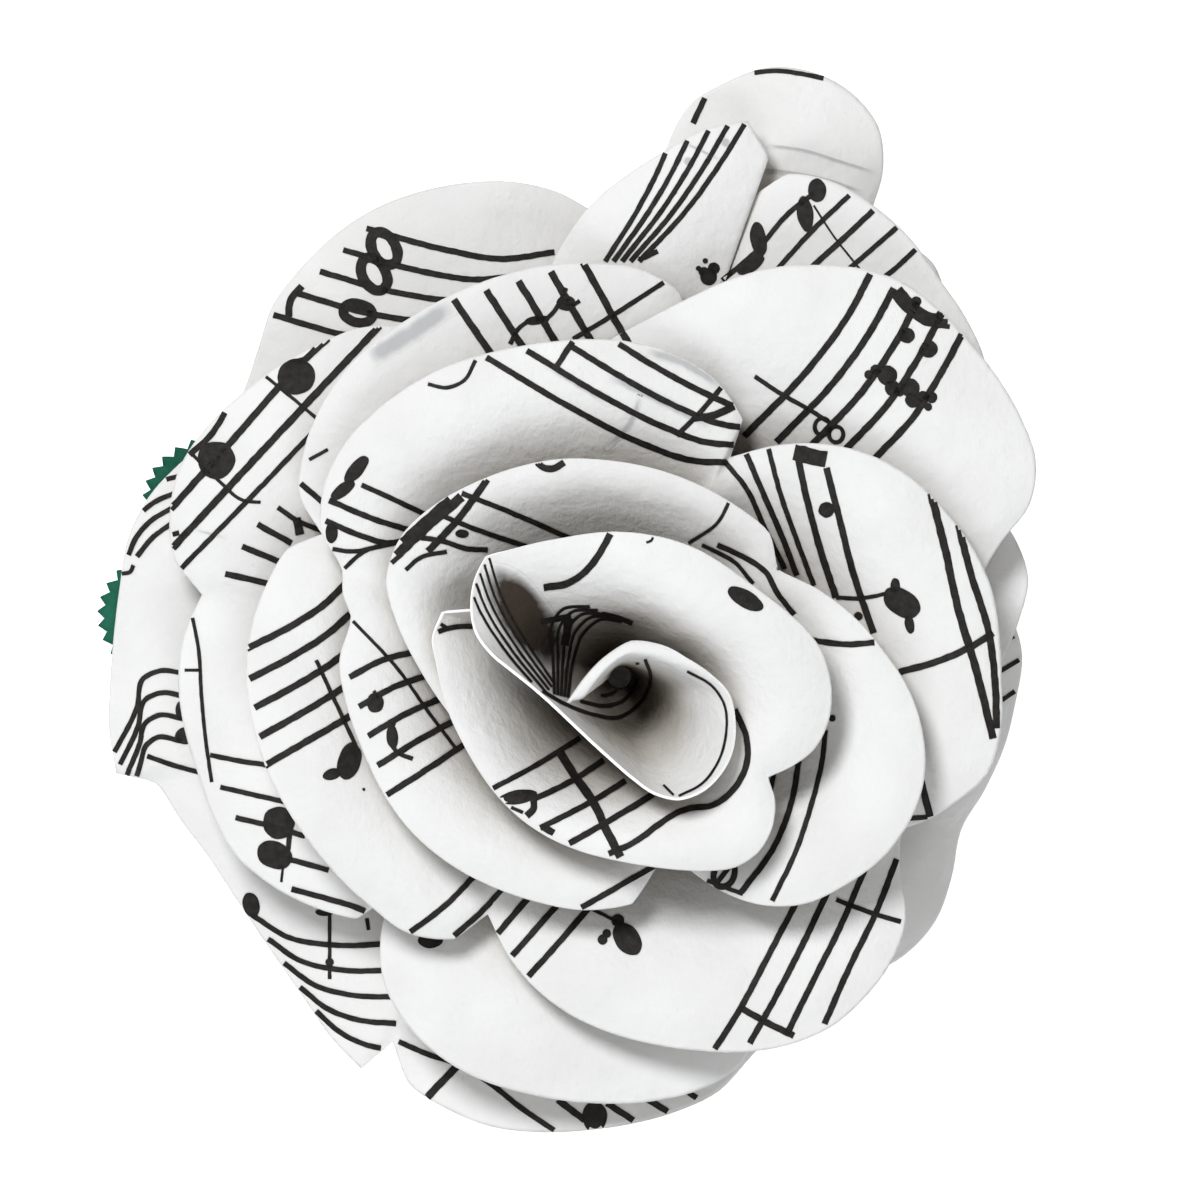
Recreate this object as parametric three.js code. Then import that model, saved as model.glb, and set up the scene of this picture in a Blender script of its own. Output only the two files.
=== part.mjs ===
// A rose of music paper: six scalloped paper sheets nested in each other, and two green leaves below them.
// Millimetres, +Z up. The rose lies on its flat middle, whose underside is the plane z = 0 around the origin.
import * as THREE from 'three';

// ---------------------------------------------------------------------------------------------------------
// Driving dimensions
// ---------------------------------------------------------------------------------------------------------
const PAPER = 0.25;             // thickness of the music paper
const LEAF_PAPER = 0.25;        // thickness of the green paper
const COLUMN = 2.7;             // spacing of the grid columns along a rim
const BUD_COLUMN = 1.6;         // the same in the tightly rolled bud
const FLOOR_RADIUS = 6.2;       // the outermost sheet is flat and glued out to here
const LEAST_TURN = 0.01;        // radians that each grid column turns on from the one before, at least

// How far along its way from foot to rim each grid row lies. The rows crowd where the paper curls.
const ROWS = [0, 0.2, 0.4, 0.58, 0.74, 0.87, 0.95, 1];

const MUSIC_PAPER = { color: 0xf2f0ec, roughness: 0.85, metalness: 0 };
const GREEN_PAPER = { color: 0x14603f, roughness: 0.9, metalness: 0 };

// ---------------------------------------------------------------------------------------------------------
// The sheets, from the bud outwards
//
// A sheet runs clockwise round the rose, as seen from above, and is a row of lobes. Of each lobe:
//   rim     the points [x, y] that its curved edge passes through, seen from above. It starts at the notch
//           where the lobe before it ended.
//   height  of the rim above the floor: [at its start, at its middle, at its end]
//   wall    how far out the paper stands up before it curls over, as a share of the way to the rim
//   crest   how far above the rim the paper aims before it curls down to it, or below it where it doesn't
//   lean    how far the lower paper leans out: 0 is upright, 0.4 a straight cone
// Of each sheet:
//   heart   the point [x, y] that its lobes stand around
//   foot    the ring that it is gathered to: its middle, and its radius and height, each
//           [at the sheet's start, at its end]
// ---------------------------------------------------------------------------------------------------------
const SHEETS = [
  {
    name: 'bud_sheet',
    heart: [2.5, -4],
    foot: { middle: [1.2, -1.7], radius: [0.7, 2.1], height: [5, 3.8] },
    column: BUD_COLUMN,
    lobes: [
      {
        rim: [[-1.8, -3.3], [0, -1.1], [2.4, 0.2], [5.9, -1.1], [7.7, -2.9]],
        height: [21.2, 22.2, 21.8],
        wall: 0.25,
        crest: 1,
        lean: 0.05,
      },
      {
        rim: [[7.7, -2.9], [8, -5.2], [7.2, -7.4], [5.1, -9], [2.4, -8.3], [-3.3, -3.1], [-7, 0.1],
          [-7.6, 3.1], [-6.7, 5.3]],
        height: [21.8, 21.2, 21],
        wall: 0.6,
        crest: -3.4,
        lean: 0.34,
      },
      {
        rim: [[-6.7, 5.3], [-3.2, 6.2], [1, 6.7], [5.1, 5.9], [8.8, 3.6], [12.5, 0.4], [13.5, -2.7],
          [12.9, -5.4], [11.4, -6.8], [9.8, -7.6]],
        height: [21, 20.8, 19.2],
        wall: 0.28,
        crest: 1.7,
        lean: 0.06,
      },
      {
        rim: [[9.8, -7.6], [10.2, -9.6], [9.4, -11.8], [7.2, -13], [2.4, -12.7], [-2.4, -11.4], [-6, -8.7],
          [-8.8, -4.1], [-9.9, 0.4]],
        height: [19.2, 19, 18.6],
        wall: 0.5,
        crest: 1.4,
        lean: 0.3,
      },
      {
        rim: [[-9.9, 0.4], [-9.6, 1.8], [-8.6, 2.4], [-7.6, 2.3]],
        height: [18.6, 18.4, 17.6],
        wall: 0.6,
        crest: -2.8,
        lean: 0.34,
      },
    ],
  },
  {
    name: 'petal_sheet_2',
    heart: [1, -2],
    foot: { middle: [0.9, -1.3], radius: [3.2, 3.3], height: [3, 2.8] },
    column: COLUMN,
    lobes: [
      {
        rim: [[-7.6, -5.4], [-9.9, -2.4], [-11.8, 1.2], [-12.5, 3.6], [-12, 6], [-8.8, 8.9], [-3.2, 10.9],
          [2.4, 10.6], [7.1, 8.8], [10.7, 5.8], [10.4, 4.5]],
        height: [15, 18, 16.6],
        wall: 0.5,
        crest: 0.6,
        lean: 0.34,
      },
      {
        rim: [[10.4, 4.5], [13.2, 3], [15.9, 0.6], [18.5, -3.5], [18.9, -8.2], [16.5, -12.4], [11.8, -15.1],
          [8.2, -14.7], [5.3, -12.9], [3, -10.4]],
        height: [16.6, 16.8, 14.8],
        wall: 0.45,
        crest: 1.4,
        lean: 0.32,
      },
    ],
  },
  {
    name: 'petal_sheet_3',
    heart: [0.5, -1],
    foot: { middle: [0.5, -0.8], radius: [4.3, 4.4], height: [2.3, 2.1] },
    column: COLUMN,
    lobes: [
      {
        rim: [[3.2, -12.9], [2.4, -14.8], [-1.2, -15.4], [-5.9, -14.2], [-10, -11.8], [-12.9, -8.2],
          [-15, -2.9], [-15.2, 0], [-14.6, 1.8]],
        height: [14.6, 15.8, 14.6],
        wall: 0.45,
        crest: 1.4,
        lean: 0.26,
      },
      {
        rim: [[-14.6, 1.8], [-15.1, 3.2], [-15.1, 4.5]],
        height: [14.6, 14.8, 14.4],
        wall: 0.5,
        crest: 0.8,
        lean: 0.26,
      },
      {
        rim: [[-15.1, 4.5], [-16.2, 5.9], [-16, 10], [-13.5, 13.5], [-8.8, 16.5], [-2.4, 17.9], [2.9, 17.6],
          [7.1, 15.3], [8.5, 12.4], [7.6, 11.1]],
        height: [14.4, 15.8, 13.8],
        wall: 0.45,
        crest: 1.6,
        lean: 0.26,
      },
      {
        rim: [[7.6, 11.1], [11.8, 11.9], [15.9, 11.2], [18.8, 9.4], [21.8, 5.9], [23.3, 1.8], [23.5, -5.3],
          [22.4, -7.8], [18.8, -10.3], [15.5, -10.6]],
        height: [13.8, 13.8, 12.4],
        wall: 0.42,
        crest: 2,
        lean: 0.26,
      },
    ],
  },
  {
    name: 'petal_sheet_4',
    heart: [0, 0],
    foot: { middle: [0.2, -0.3], radius: [5.3, 5.5], height: [1.6, 1.4] },
    column: COLUMN,
    lobes: [
      {
        rim: [[0.6, 18], [4.8, 20.2], [7.6, 21.5], [11.8, 22.4], [17.6, 21.5], [22.4, 17.1], [25.2, 12.4],
          [25.4, 8.8], [22.6, 4.7], [19.5, -3.4]],
        height: [12.4, 12.2, 9.6],
        wall: 0.42,
        crest: 2,
        lean: 0.26,
      },
      {
        rim: [[19.5, -3.4], [19.3, -8], [17.5, -11.6], [17.9, -16.3], [16.5, -19.4], [13.5, -22.4],
          [8.8, -23.8], [2.4, -23.2], [-2.4, -21.2], [-5.3, -18.2], [-6.6, -15.7]],
        height: [9.6, 12, 11.4],
        wall: 0.42,
        crest: 1.8,
        lean: 0.26,
      },
      {
        rim: [[-6.6, -15.7], [-7.4, -16.7], [-9.4, -17.2], [-11.8, -16.5], [-15.9, -12.9], [-19.4, -7.6],
          [-20.8, -1.8], [-19.9, 2.9], [-17.6, 6.6], [-16.3, 6.6]],
        height: [11.4, 13, 11.2],
        wall: 0.42,
        crest: 1.6,
        lean: 0.26,
      },
      {
        rim: [[-16.3, 6.6], [-17.6, 8.8], [-17.1, 12.4], [-14.7, 16.5], [-10, 20], [-4.7, 22.1], [0, 22.5],
          [3.5, 21.8], [4.9, 20.3], [5.4, 18.4]],
        height: [11.2, 12.4, 10],
        wall: 0.42,
        crest: 1.8,
        lean: 0.26,
      },
    ],
  },
  {
    name: 'petal_sheet_5',
    heart: [0, 0],
    foot: { middle: [0, 0], radius: [6.3, 6.5], height: [0.9, 0.75] },
    column: COLUMN,
    lobes: [
      {
        rim: [[-3.6, 19.6], [-2.6, 22.8], [0, 26.5], [4.7, 29.7], [8.2, 31.1], [9.8, 29.4], [8.9, 26.5]],
        height: [7.6, 9.4, 8],
        wall: 0.4,
        crest: 1,
        lean: 0.26,
      },
      {
        rim: [[8.9, 26.5], [9.9, 27.5], [12.6, 27.8], [15.9, 26.1], [18.5, 23.8], [20.6, 20.6], [22.6, 17.1],
          [22.8, 8.6]],
        height: [8, 8.8, 6.6],
        wall: 0.4,
        crest: 1.8,
        lean: 0.26,
      },
      {
        rim: [[22.8, 8.6], [24.9, 5.6], [25.2, 3.1], [24.3, 0.6], [22.4, -4], [20.2, -8.4], [17, -11.4],
          [16.2, -16], [13.4, -20], [9.6, -22.4]],
        height: [6.6, 6.4, 7],
        wall: 0.4,
        crest: 2,
        lean: 0.26,
      },
      {
        rim: [[9.6, -22.4], [8.2, -24.7], [4.7, -26.5], [-0.6, -26.9], [-5.9, -25.9], [-9.6, -24], [-12.4, -20.6],
          [-12.8, -17], [-12.2, -14.6]],
        height: [7, 9, 8],
        wall: 0.4,
        crest: 1.6,
        lean: 0.26,
      },
      {
        rim: [[-12.2, -14.6], [-14.1, -16], [-18.2, -14.7], [-21.8, -11.8], [-24, -6.4], [-24.8, -2.4],
          [-24.3, 1.4], [-23.4, 3.1]],
        height: [8, 7, 7.6],
        wall: 0.45,
        crest: 3,
        lean: 0.26,
      },
      {
        rim: [[-23.4, 3.1], [-24.9, 4.8], [-25.3, 8], [-24.7, 10.6], [-22.6, 13.5], [-18.8, 16.5], [-14.7, 18.5],
          [-11.9, 18.8], [-9, 17.2]],
        height: [7.6, 8.4, 7],
        wall: 0.45,
        crest: 3,
        lean: 0.26,
      },
    ],
  },
  {
    name: 'petal_sheet_6',
    heart: [0, 0],
    foot: { middle: [0, 0], radius: [FLOOR_RADIUS, FLOOR_RADIUS], height: [0, 0] },
    column: COLUMN,
    closed: true,
    lobes: [
      {
        rim: [[2.4, 24.5], [4.4, 30.2], [5.9, 32.4], [10, 34.2], [13.6, 33.5], [16.2, 31.2], [16.6, 28.2], [15.9, 25.9],
          [15.2, 23]],
        height: [3.4, 5.8, 3.2],
        wall: 0.35,
        crest: 1.6,
        lean: 0.26,
      },
      {
        rim: [[15.2, 23], [18.9, 23.9], [21.6, 17.4], [24, 12], [24.4, 8], [22.8, 4.6]],
        height: [3.2, 4, 3],
        wall: 0.35,
        crest: 1.4,
        lean: 0.26,
      },
      {
        rim: [[22.8, 4.6], [24.7, 0.8], [24.7, -2.2], [23.4, -7.2], [21.4, -10.5], [20.4, -15], [18.9, -17.3],
          [16.8, -19], [12.8, -20.4]],
        height: [3, 1.8, 3],
        wall: 0.6,
        crest: 3.2,
        lean: 0.18,
      },
      {
        rim: [[12.8, -20.4], [9.6, -23.4], [7.1, -26.2], [3.5, -27.8], [-1, -28.6], [-5.9, -28.5], [-10, -26.8],
          [-12, -24.9], [-12.2, -23.4]],
        height: [3, 5, 2.6],
        wall: 0.35,
        crest: 1.6,
        lean: 0.26,
      },
      {
        rim: [[-12.2, -23.4], [-13, -24.3], [-13.9, -25], [-15.2, -24], [-17.6, -20.6], [-20.6, -16.2],
          [-23.5, -11.8], [-25.4, -9.4], [-26.2, -8]],
        height: [2.6, 1.8, 2.2],
        wall: 0.6,
        crest: 2.8,
        lean: 0.18,
      },
      {
        rim: [[-26.2, -8], [-27.6, -8.3], [-28.5, -7.6], [-28.9, -5.5], [-28.9, -2.9], [-28.4, 2.9], [-27.6, 7.1], [-25.6, 10],
          [-22.6, 12.6]],
        height: [2.2, 2, 2.6],
        wall: 0.7,
        crest: 3.4,
        lean: 0.18,
      },
      {
        rim: [[-22.6, 12.6], [-20.6, 15.9], [-19.4, 20], [-15.9, 24.1], [-11.8, 26.5], [-6.5, 27.5], [-2.4, 26.8],
          [-0.7, 25.8], [2.4, 24.5]],
        height: [2.6, 5.4, 3.4],
        wall: 0.35,
        crest: 1.6,
        lean: 0.26,
      },
    ],
  },
];

// ---------------------------------------------------------------------------------------------------------
// From a sheet's lobes to its surface
// ---------------------------------------------------------------------------------------------------------
const mix = THREE.MathUtils.lerp;

// A value that is `start` and `end` at the two notches of a lobe and swells to `middle` half way.
function acrossLobe([start, middle, end], t) {
  return mix(start, end, t) + (middle - (start + end) / 2) * Math.sin(Math.PI * t);
}

// What a lobe's own value is at its two notches: the mean of its value and its neighbour's.
function notchValues(sheet, index, key) {
  const { lobes, closed } = sheet;
  const count = lobes.length;
  const own = lobes[index][key];
  const before = closed ? lobes[(index + count - 1) % count] : lobes[index - 1] ?? lobes[index];
  const after = closed ? lobes[(index + 1) % count] : lobes[index + 1] ?? lobes[index];
  return [(before[key] + own) / 2, own, (own + after[key]) / 2];
}

// The rim of a whole sheet, as columns evenly spaced along each lobe: where each meets the rim, and how the
// paper stands under it.
function rimColumns(sheet) {
  const columns = [];
  sheet.lobes.forEach((lobe, index) => {
    const curve = new THREE.SplineCurve(lobe.rim.map(([x, y]) => new THREE.Vector2(x, y)));
    const steps = Math.max(2, Math.round(curve.getLength() / sheet.column));
    const walls = notchValues(sheet, index, 'wall');
    const crests = notchValues(sheet, index, 'crest');
    const leans = notchValues(sheet, index, 'lean');
    for (let step = index === 0 ? 0 : 1; step <= steps; step += 1) {
      const t = step / steps;
      columns.push({
        rim: curve.getPointAt(t),
        height: acrossLobe(lobe.height, t),
        wall: acrossLobe(walls, t),
        crest: acrossLobe(crests, t),
        lean: acrossLobe(leans, t),
      });
    }
  });
  if (sheet.closed) columns.pop();
  return columns;
}

// The bearing of each column from the sheet's heart. It always turns on clockwise, and past a full circle
// where the sheet does.
function bearings(columns, [heartX, heartY]) {
  const whole = 2 * Math.PI;
  const turned = [];
  columns.forEach(({ rim }, index) => {
    const bearing = Math.atan2(rim.y - heartY, rim.x - heartX);
    const last = index > 0 ? turned[index - 1] : bearing + LEAST_TURN;
    const unwound = bearing - whole * Math.round((bearing - last) / whole);
    turned.push(Math.min(unwound, last - LEAST_TURN));
  });
  return turned;
}

// One column of the grid: from the foot ring up the wall and out over the crest to the rim.
function meridian(column, foot) {
  const rim = new THREE.Vector3(column.rim.x, column.rim.y, column.height);
  const rise = foot.clone().lerp(rim, column.lean).setZ(mix(foot.z, rim.z, 1 - 1.5 * column.lean));
  const crest = foot.clone().lerp(rim, column.wall + 0.15).setZ(rim.z + column.crest);
  const curve = new THREE.CubicBezierCurve3(foot, rise, crest, rim);
  return ROWS.map((share) => curve.getPoint(share));
}

function sheetGrid(sheet) {
  const { heart, foot, closed } = sheet;
  const columns = rimColumns(sheet);
  const turned = bearings(columns, heart);
  return columns.map((column, index) => {
    const along = index / (columns.length - 1);
    const radius = mix(...foot.radius, along);
    const start = new THREE.Vector3(
      foot.middle[0] + radius * Math.cos(turned[index]),
      foot.middle[1] + radius * Math.sin(turned[index]),
      mix(...foot.height, along),
    );
    const points = meridian(column, start);
    if (!closed) return points;
    // The closed sheet goes on inwards from its foot ring, flat, to its centre.
    return [new THREE.Vector3(), points[0].clone().multiplyScalar(0.5), ...points];
  });
}

// ---------------------------------------------------------------------------------------------------------
// Paper: a grid of points given a thickness
// ---------------------------------------------------------------------------------------------------------

// The upward normal at each point of a grid whose columns run clockwise and whose rows run outwards.
function gridNormals(grid, closed) {
  const columns = grid.length;
  const rows = grid[0].length;
  return grid.map((column, i) => column.map((point, j) => {
    const before = closed ? grid[(i + columns - 1) % columns] : grid[Math.max(i - 1, 0)];
    const after = closed ? grid[(i + 1) % columns] : grid[Math.min(i + 1, columns - 1)];
    const normal = new THREE.Vector3();
    const outwards = column[Math.min(j + 1, rows - 1)].clone().sub(column[Math.max(j - 1, 0)]);
    const around = after[j].clone().sub(before[j]);
    normal.crossVectors(around, outwards);
    return normal.lengthSq() > 0 ? normal.normalize() : normal.set(0, 0, 1);
  }));
}

// A closed body: the grid is its lower face, and its upper face lies one thickness above.
function paperGeometry(grid, thickness, closed = false) {
  const normals = gridNormals(grid, closed);
  const columns = grid.length;
  const rows = grid[0].length;
  const triangles = [];
  const lower = (i, j) => grid[i % columns][j];
  const upper = (i, j) => lower(i, j).clone().addScaledVector(normals[i % columns][j], thickness);
  const triangle = (a, b, c) => {
    if (a.equals(b) || b.equals(c) || c.equals(a)) return;
    triangles.push(...a.toArray(), ...b.toArray(), ...c.toArray());
  };
  const quad = (a, b, c, d) => {
    triangle(a, b, c);
    triangle(a, c, d);
  };
  const spans = closed ? columns : columns - 1;
  for (let i = 0; i < spans; i += 1) {
    for (let j = 0; j < rows - 1; j += 1) {
      quad(upper(i, j), upper(i + 1, j), upper(i + 1, j + 1), upper(i, j + 1));
      quad(lower(i, j + 1), lower(i + 1, j + 1), lower(i + 1, j), lower(i, j));
    }
    quad(upper(i, rows - 1), upper(i + 1, rows - 1), lower(i + 1, rows - 1), lower(i, rows - 1));
    if (!closed) quad(lower(i, 0), lower(i + 1, 0), upper(i + 1, 0), upper(i, 0));
  }
  if (!closed) {
    for (let j = 0; j < rows - 1; j += 1) {
      quad(lower(0, j), upper(0, j), upper(0, j + 1), lower(0, j + 1));
      quad(upper(spans, j), lower(spans, j), lower(spans, j + 1), upper(spans, j + 1));
    }
  }
  const geometry = new THREE.BufferGeometry();
  geometry.setAttribute('position', new THREE.Float32BufferAttribute(triangles, 3));
  geometry.computeVertexNormals();
  return geometry;
}

// ---------------------------------------------------------------------------------------------------------
// The leaves: ovals with a pinked edge, lying under the petals
// ---------------------------------------------------------------------------------------------------------
const LEAF = {
  halfLength: 9.4,
  halfWidth: 5.6,
  tooth: 1.15,                  // length of one tooth along the edge
  toothDepth: 0.45,
  rows: [0, 0.55, 1],           // from its middle to its edge
  dish: 0.25,                   // how much lower its middle lies than its edge
};
const LEAVES = [
  { name: 'leaf_upper', bearing: 160, tip: 28.7, level: 0 },
  { name: 'leaf_lower', bearing: 176, tip: 29.9, level: 0.65 },
];

function leafGrid({ bearing, tip, level }) {
  const { halfLength, halfWidth } = LEAF;
  const perimeter = Math.PI * (halfLength + halfWidth);
  const teeth = Math.round(perimeter / LEAF.tooth);
  const turn = THREE.MathUtils.degToRad(bearing);
  const along = new THREE.Vector3(Math.cos(turn), Math.sin(turn), 0);
  const sideways = new THREE.Vector3(Math.sin(turn), -Math.cos(turn), 0);
  const middle = along.clone().multiplyScalar(tip - halfLength);
  const grid = [];
  for (let step = 0; step < 2 * teeth; step += 1) {
    const angle = Math.PI * (step / teeth);
    const valley = step % 2 === 0 ? 0 : LEAF.toothDepth;
    grid.push(LEAF.rows.map((share) => middle.clone()
      .addScaledVector(along, share * (halfLength - valley) * Math.cos(angle))
      .addScaledVector(sideways, share * (halfWidth - valley) * Math.sin(angle))
      .setZ(level + LEAF.dish * share ** 2)));
  }
  return grid;
}

// ---------------------------------------------------------------------------------------------------------
// Assembly
// ---------------------------------------------------------------------------------------------------------
function piece(name, geometry, look) {
  const mesh = new THREE.Mesh(geometry, new THREE.MeshStandardMaterial(look));
  mesh.name = name;
  return mesh;
}

const rose = new THREE.Group();
SHEETS.forEach((sheet) => {
  rose.add(piece(sheet.name, paperGeometry(sheetGrid(sheet), PAPER, sheet.closed), MUSIC_PAPER));
});
LEAVES.forEach((leaf) => {
  rose.add(piece(leaf.name, paperGeometry(leafGrid(leaf), LEAF_PAPER, true), GREEN_PAPER));
});

export default rose;
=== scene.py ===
"""The looks of the paper rose, around the CAD frame: printed music paper and two green leaves.

Lengths are millimetres until a mesh is made. Each sheet is read back from its CAD node as a grid of
points, smoothed, and given a thickness again. Print is thin ink that lies on the paper.
"""
import math
import random

import bmesh
import bpy
import numpy as np
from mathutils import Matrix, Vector, noise
from mathutils.bvhtree import BVHTree


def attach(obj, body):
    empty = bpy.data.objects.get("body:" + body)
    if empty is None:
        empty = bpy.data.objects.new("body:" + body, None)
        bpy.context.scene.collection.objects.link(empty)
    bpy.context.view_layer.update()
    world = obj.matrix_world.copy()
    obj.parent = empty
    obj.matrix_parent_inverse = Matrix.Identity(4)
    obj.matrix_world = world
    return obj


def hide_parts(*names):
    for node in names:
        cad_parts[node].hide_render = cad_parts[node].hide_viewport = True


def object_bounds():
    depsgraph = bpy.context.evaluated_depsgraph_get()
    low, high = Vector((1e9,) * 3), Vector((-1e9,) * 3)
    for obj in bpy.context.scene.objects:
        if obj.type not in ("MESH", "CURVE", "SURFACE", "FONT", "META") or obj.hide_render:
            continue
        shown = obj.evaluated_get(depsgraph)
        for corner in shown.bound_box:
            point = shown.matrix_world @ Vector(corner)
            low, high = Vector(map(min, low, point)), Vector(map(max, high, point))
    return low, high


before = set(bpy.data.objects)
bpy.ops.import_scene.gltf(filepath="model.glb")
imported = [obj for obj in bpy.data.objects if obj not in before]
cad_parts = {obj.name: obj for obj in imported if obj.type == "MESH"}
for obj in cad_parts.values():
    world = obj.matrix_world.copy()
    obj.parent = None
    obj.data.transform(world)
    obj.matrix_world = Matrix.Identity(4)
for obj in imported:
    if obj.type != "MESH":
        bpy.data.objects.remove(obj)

CAD_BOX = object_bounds()
MM = 0.001
BODY = "root"

# --- Driving values, in millimetres ---
PAPER = 0.25                # thickness of the paper, as in the CAD nodes
PAPER_SLACK = 0.001         # how exactly the CAD nodes keep to it
WELD = 0.0005               # CAD vertices closer than this are one
CORNER_NEIGHBOURS = 3       # a grid's corner vertex has at most this many neighbours
MIDDLE_NEIGHBOURS = 12      # the middle vertex of a closed sheet has more than this many
FINE_COLUMNS = 5            # steps between two CAD columns
FINE_ROWS = 6               # steps between two CAD rows
NOTCH_TURN = (0.5, 1.0)     # radians: a rim that turns less at a column is smooth there, more is a corner
RIPPLE = 0.07               # how far the paper strays from its smooth shape
RIPPLE_LENGTH = 7.0
COCKLE = 0.018              # the same for its small unevenness
COCKLE_LENGTH = 2.2

VISIBLE_PAPER = 0.17        # thickness of the paper that shows, less than the CAD solids have
INK_LIFT = 0.05             # ink lies this far off the paper
PATCH_LIFT = 0.03           # darker patches of paper lie under it: print showing through, and painted shade
PATCH_FADE = 8              # steps over which the ends of print that shows through fade out
INK_STEP = 0.16             # spacing of the points along a stroke
INK_BREAK = 1.6             # a stroke ends where the paper drops by this much between two points
INK_ROUGH = 0.16            # how much a stroke's edge wanders, as a share of its half width
EDGE_NOISE = 2.3            # how quickly that edge wanders, per millimetre
LEFT_EDGE = 3.1             # where the noise is read for a stroke's left edge
RIGHT_EDGE = 9.7            # and for its right edge
WIDE_STROKE = 0.4           # a stroke from this width on is WIDE_FACES faces wide, and a finer one is one
WIDE_FACES = 3
PATCH_FACES = 6             # faces across print that shows through
DOT_SIDES = 14              # the fewest sides that a dot has
DOT_NOISE = 1.3             # how far round the noise a dot's edge goes
DOT_RING = 0.3              # width of the rings of faces that a dot is made of
DOT_RINGS = 3               # the fewest of them
DOT_PINHOLE = 0.003         # the share of a dot's radius where its innermost ring starts
RING_POINTS = 12            # points that an oval line runs through
STAFF_WIDTH = 0.36          # a staff line

# Print on the underside, where a staff pitch is the distance between two of its lines.
FLAT_REACH = 1.3            # the flat sheet reaches at most this much further than the curled one
STAFF_LINES = 5
STAFF_PITCH = 1.9
STAVES_APART = 9            # pitches from one staff to the next
NOTES_APART = (4, 9)
NOTE_HEIGHTS = (0.5, 1, 1.5, 2, 2.5, 3)     # pitches above the lowest line
NOTE_RADII = (1.15, 0.8)
NOTE_TURN = 20
STEM_SIDE = 1.05            # from a note's middle to its stem
STEM_PITCHES = 3.3
STEM_WIDTH = 0.22
SEED = 7
CLEARANCE = 10              # print that is laid out from above is dropped from this far over the sheet

# The shades of a mark: print on this side, print that shows through, and painted shade for paper deep in a
# hollow.
INK, SHOW_THROUGH, PAINTED_SHADE = 0, 1, 2
COVER = "cover"             # the mesh attribute that says how strong a mark is at a point


# --- From a CAD node to its grid of points ---
def welded(node):
    """The node's mesh with its doubled vertices joined."""
    bm = bmesh.new()
    bm.from_mesh(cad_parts[node].data)
    bmesh.ops.remove_doubles(bm, verts=bm.verts, dist=WELD * MM)
    bm.normal_update()
    return bm


def crosses_paper(edge):
    """True for an edge straight through the paper: as long as that is thick, and square to a face."""
    if abs(edge.calc_length() - PAPER * MM) > PAPER_SLACK * MM:
        return False
    direction = (edge.verts[1].co - edge.verts[0].co).normalized()
    beside = (face for vertex in edge.verts for face in vertex.link_faces)
    return max(abs(face.normal.dot(direction)) for face in beside) > 0.8


def is_cut_edge(face):
    """True for a face of the thin edge all round the sheet."""
    return any(crosses_paper(edge) for edge in face.edges)


def upper_side(bm):
    """The faces of the upper side: of the two large connected regions, the one that looks up."""
    loose = {face for face in bm.faces if not is_cut_edge(face)}
    regions = []
    while loose:
        region = set()
        waiting = [loose.pop()]
        while waiting:
            face = waiting.pop()
            region.add(face)
            beside = {other for edge in face.edges for other in edge.link_faces} & loose
            loose -= beside
            waiting += beside
        regions.append(region)
    return max(regions, key=lambda region: sum(face.normal.z * face.calc_area() for face in region))


def neighbours(faces):
    """Of each vertex of these faces, the set of vertices that share a face with it."""
    near = {}
    for face in faces:
        for vertex in face.verts:
            near.setdefault(vertex, set()).update(face.verts)
    for vertex, around in near.items():
        around.discard(vertex)
    return near


def clockwise(first, second, middle):
    """True if the way from first to second runs clockwise round middle, seen from above."""
    return (first.co - middle).xy.cross((second.co - middle).xy) < 0


def walk(layer, near, start, second):
    """The vertices of a layer in the order of its line, from start by way of second."""
    row = [start, second]
    for _ in range(len(layer) - 2):
        row.append(next(iter((near[row[-1]] & layer) - {row[-2]})))
    return row


def foot_row(faces, near):
    """The row of an open sheet's foot: of the four sides of its boundary, the lowest."""
    beside = {}
    for face in faces:
        for edge in face.edges:
            if sum(other in faces for other in edge.link_faces) == 1:
                for vertex in edge.verts:
                    beside.setdefault(vertex, set()).add(edge.other_vert(vertex))
    corners = {vertex for vertex in beside if len(near[vertex]) <= CORNER_NEIGHBOURS}
    sides = []
    for corner in corners:
        for second in beside[corner]:
            side = [corner, second]
            while side[-1] not in corners:
                side.append(next(iter(beside[side[-1]] - {side[-2]})))
            sides.append(side)
    foot = min(sides, key=lambda side: sum(vertex.co.z for vertex in side) / len(side))
    middle = sum((vertex.co for vertex in foot), Vector()) / len(foot)
    turning = sum(clockwise(a, b, middle) for a, b in zip(foot, foot[1:]))
    return foot if turning > len(foot) / 2 else foot[::-1]


def furthest(vertices):
    """The vertex with the largest x, so that the choice doesn't hang on the order of a set."""
    return max(vertices, key=lambda vertex: vertex.co.to_tuple())


def next_row(row, layer, near, closed, middle):
    """The row outside this one. An open one starts at the sheet's side, a closed one at the column."""
    begins = near[row[0]] & layer
    if not closed:
        start = next(vertex for vertex in begins if len(near[vertex] & layer) == 1)
        return walk(layer, near, start, *(near[start] & layer))
    start = furthest(begins)
    second = furthest(near[start] & begins)
    pair = (start, second) if clockwise(start, second, middle) else (second, start)
    return walk(layer, near, *pair)


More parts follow.
